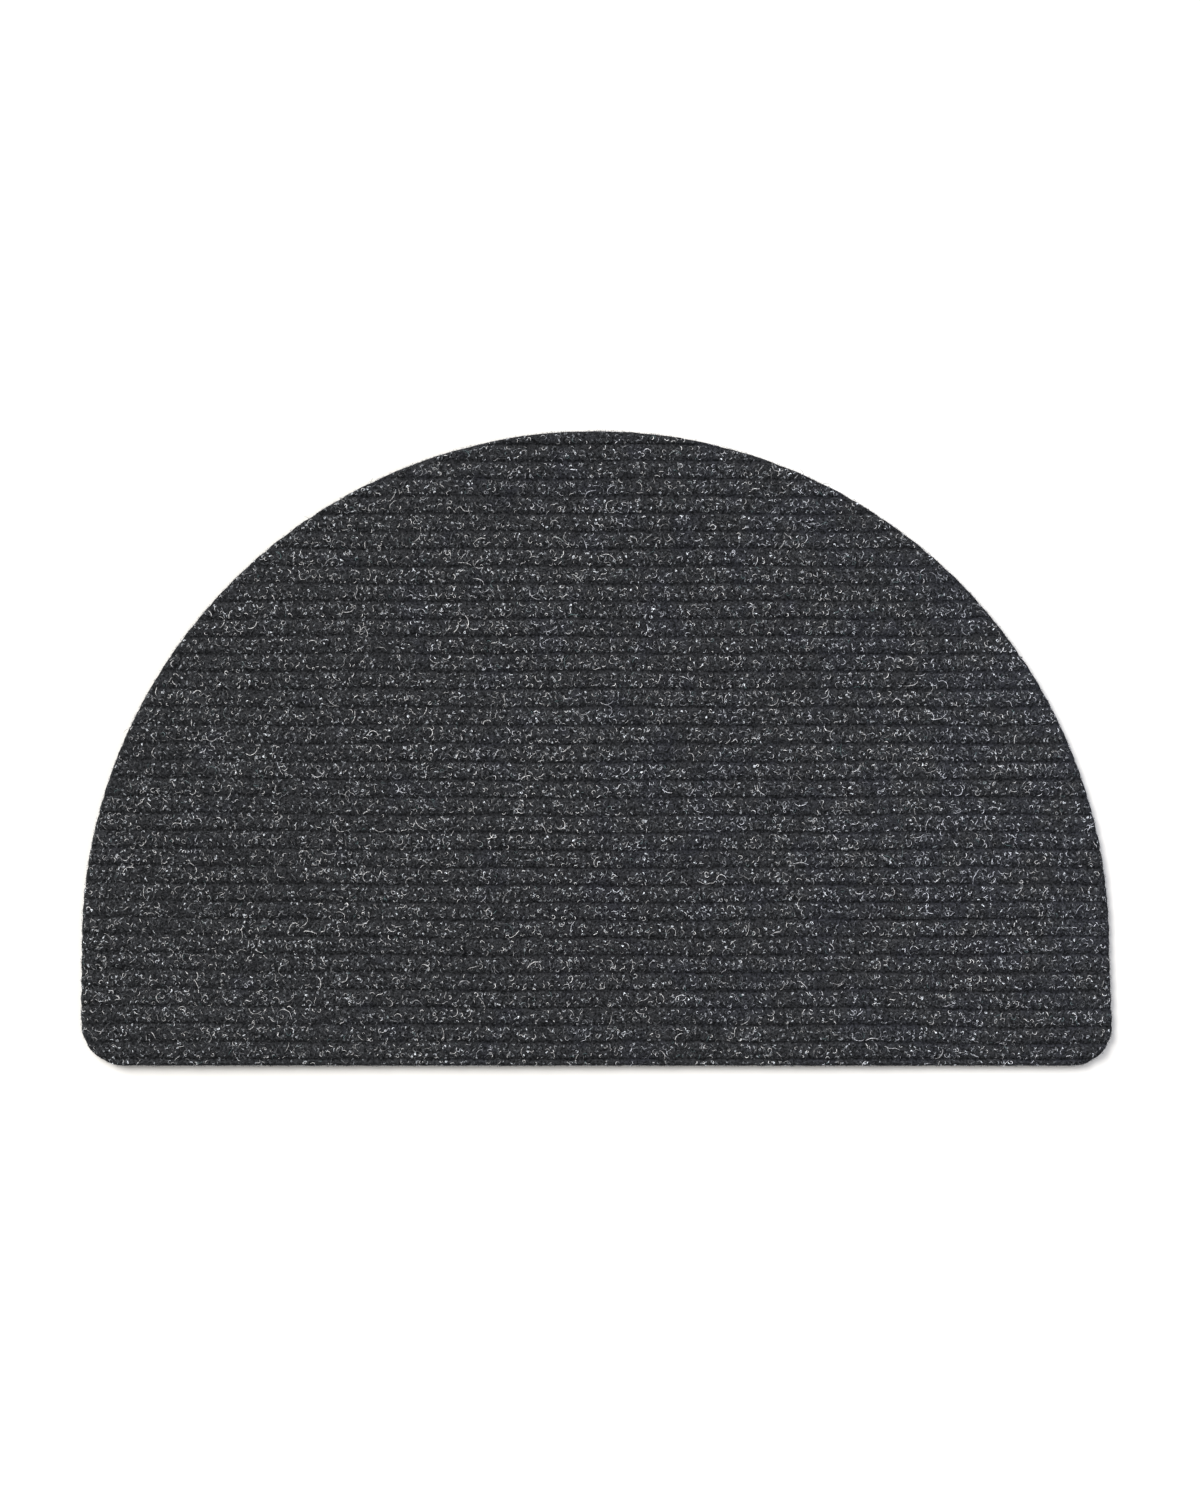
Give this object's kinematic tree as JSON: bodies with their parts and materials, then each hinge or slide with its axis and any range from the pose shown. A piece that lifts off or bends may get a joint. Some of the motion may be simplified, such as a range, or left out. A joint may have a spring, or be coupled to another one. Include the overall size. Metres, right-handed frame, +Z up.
{
  "type": "half-round ribbed doormat",
  "caption": "Half-round doormat of ribbed charcoal needle felt with rounded front corners and a plain cut edge, lying flat in front of a door to wipe shoes on.",
  "frame": {"origin": "on the floor, under the middle of the mat's outline", "axes": "+X along the ribs and the straight front edge, +Y from the straight edge towards the top of the arc, +Z up out of the ribbed face"},
  "size_m": [0.65, 0.4, 0.0069],
  "materials": {
    "charcoal_felt": "matt ribbed needle felt, charcoal fibres heathered with blue-grey",
    "pale_fibre": "coarse pale grey curled fibres with a slight sheen, scattered over the ribs"
  },
  "bodies": {
    "root": {"ribbed_felt": "charcoal_felt"}
  },
  "joints": []
}
